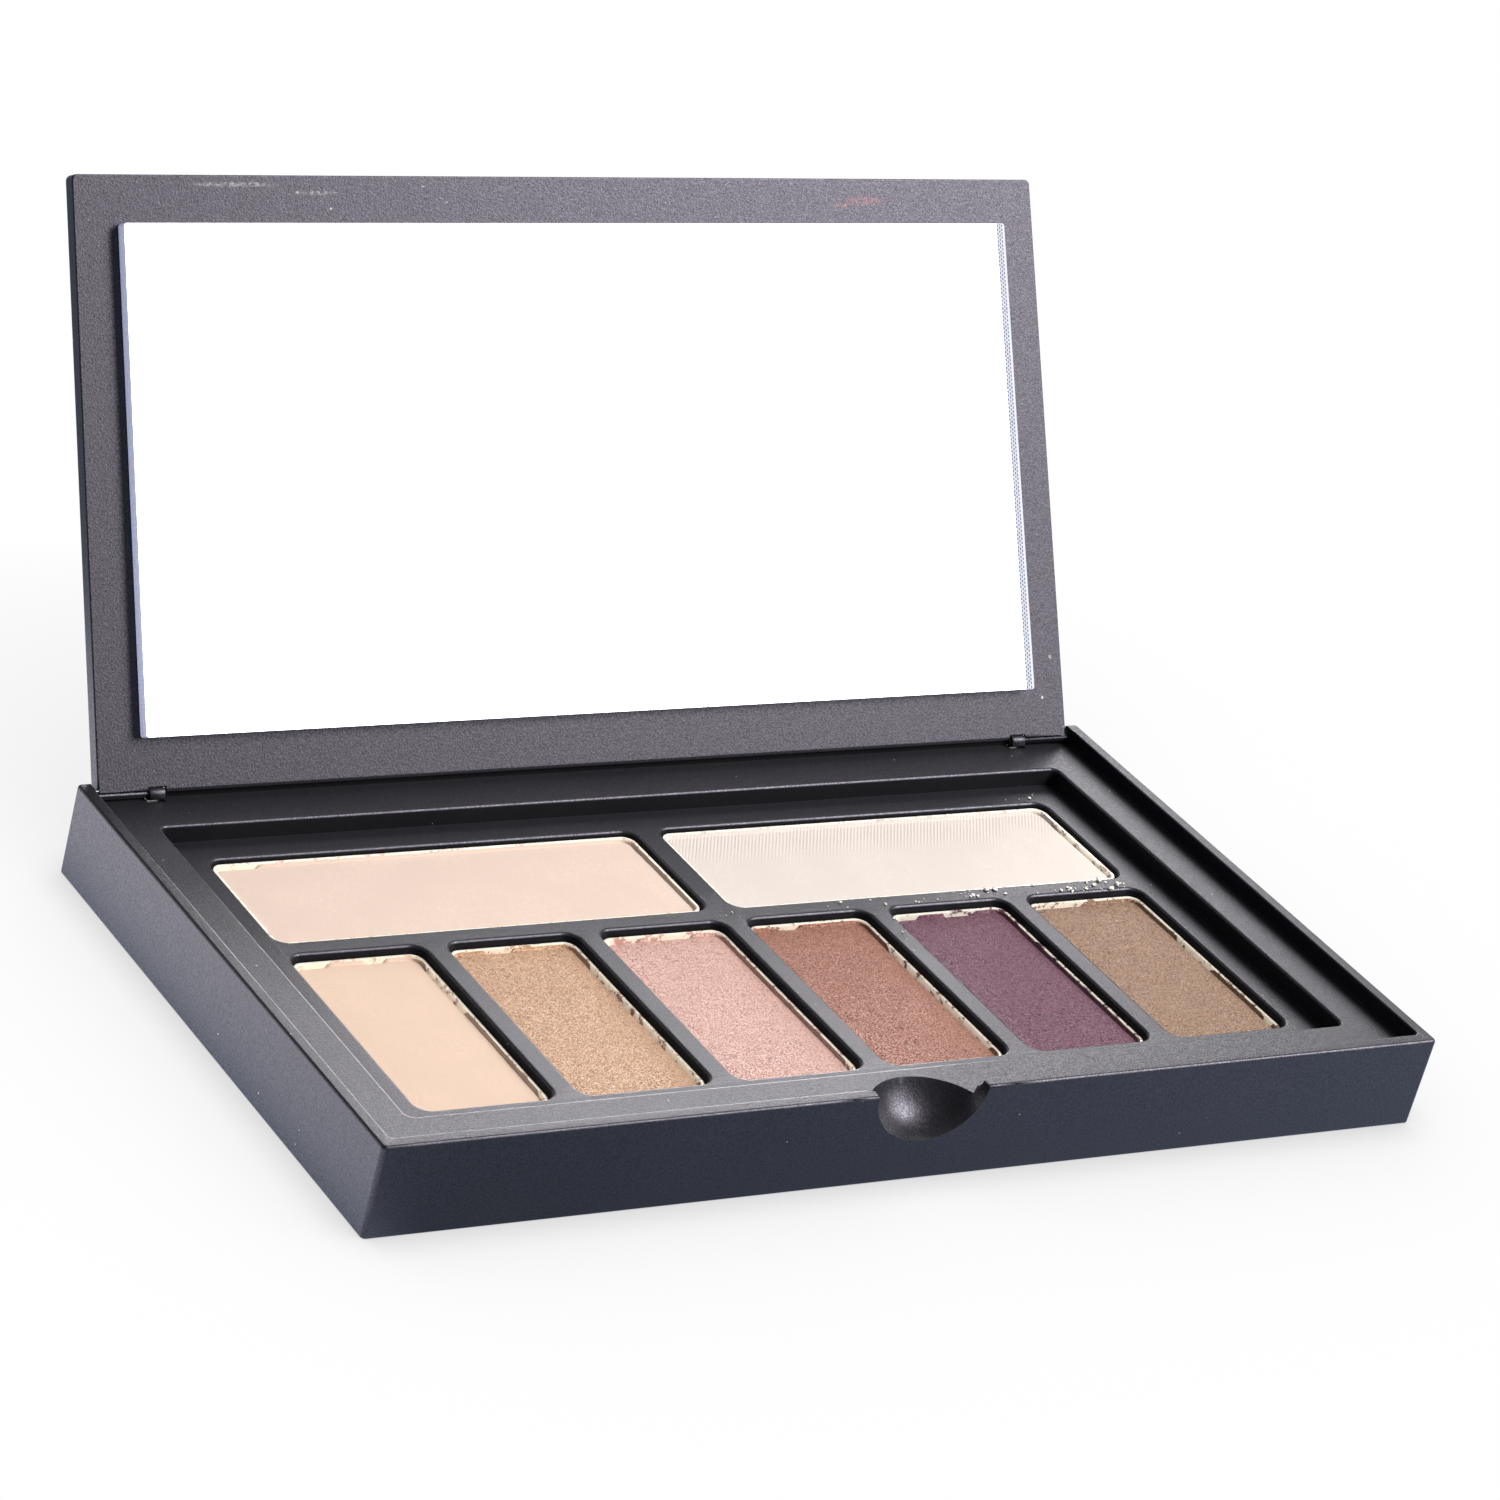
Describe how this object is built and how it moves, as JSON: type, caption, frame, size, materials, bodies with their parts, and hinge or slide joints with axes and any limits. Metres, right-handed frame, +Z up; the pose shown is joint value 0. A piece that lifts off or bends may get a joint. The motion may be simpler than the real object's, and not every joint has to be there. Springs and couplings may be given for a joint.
{
  "type": "eyeshadow palette",
  "caption": "Slim rectangular eyeshadow palette with a hinged mirrored lid standing open over a recessed tray of pressed powder pans and a thumb scoop in the front edge.",
  "frame": {"origin": "middle of the case's flat underside", "axes": "+X to the user's right, +Y towards the hinge at the back, +Z up"},
  "size_m": [0.12, 0.0923, 0.0595],
  "materials": {
    "case": "fine-grained matt charcoal",
    "pan_metal": "bright pressed foil-thin sheet",
    "glue": "clear pad adhesive",
    "mirror": "silvered glass",
    "pin_steel": "drawn wire",
    "powder_peach": "pressed powder",
    "powder_ivory": "pressed powder",
    "powder_light_peach": "pressed powder",
    "powder_golden_tan": "pressed powder",
    "powder_dusty_pink": "pressed powder",
    "powder_reddish_brown": "pressed powder",
    "powder_plum": "pressed powder",
    "powder_bronze": "pressed powder"
  },
  "bodies": {
    "base": {"base_body": "case", "base_plate": "case", "pan_tray": "case", "pan_glue": "glue", "pan_back_left": "pan_metal", "pan_back_right": "pan_metal", "pan_front_1": "pan_metal", "pan_front_2": "pan_metal", "pan_front_3": "pan_metal", "pan_front_4": "pan_metal", "pan_front_5": "pan_metal", "pan_front_6": "pan_metal", "powder_back_left": "powder_peach", "powder_back_right": "powder_ivory", "powder_front_1": "powder_light_peach", "powder_front_2": "powder_golden_tan", "powder_front_3": "powder_dusty_pink", "powder_front_4": "powder_reddish_brown", "powder_front_5": "powder_plum", "powder_front_6": "powder_bronze", "hinge_pin_left": "pin_steel", "hinge_pin_right": "pin_steel"},
    "lid": {"lid_plate": "case", "mirror_adhesive": "glue", "mirror": "mirror"}
  },
  "joints": [
    {"name": "lid_hinge", "type": "hinge", "parent": "base", "child": "lid", "pos_m": [0, 0.03015, 0.00835], "axis": [-1, 0, 0], "range_deg": [-120.8, 6]}
  ]
}
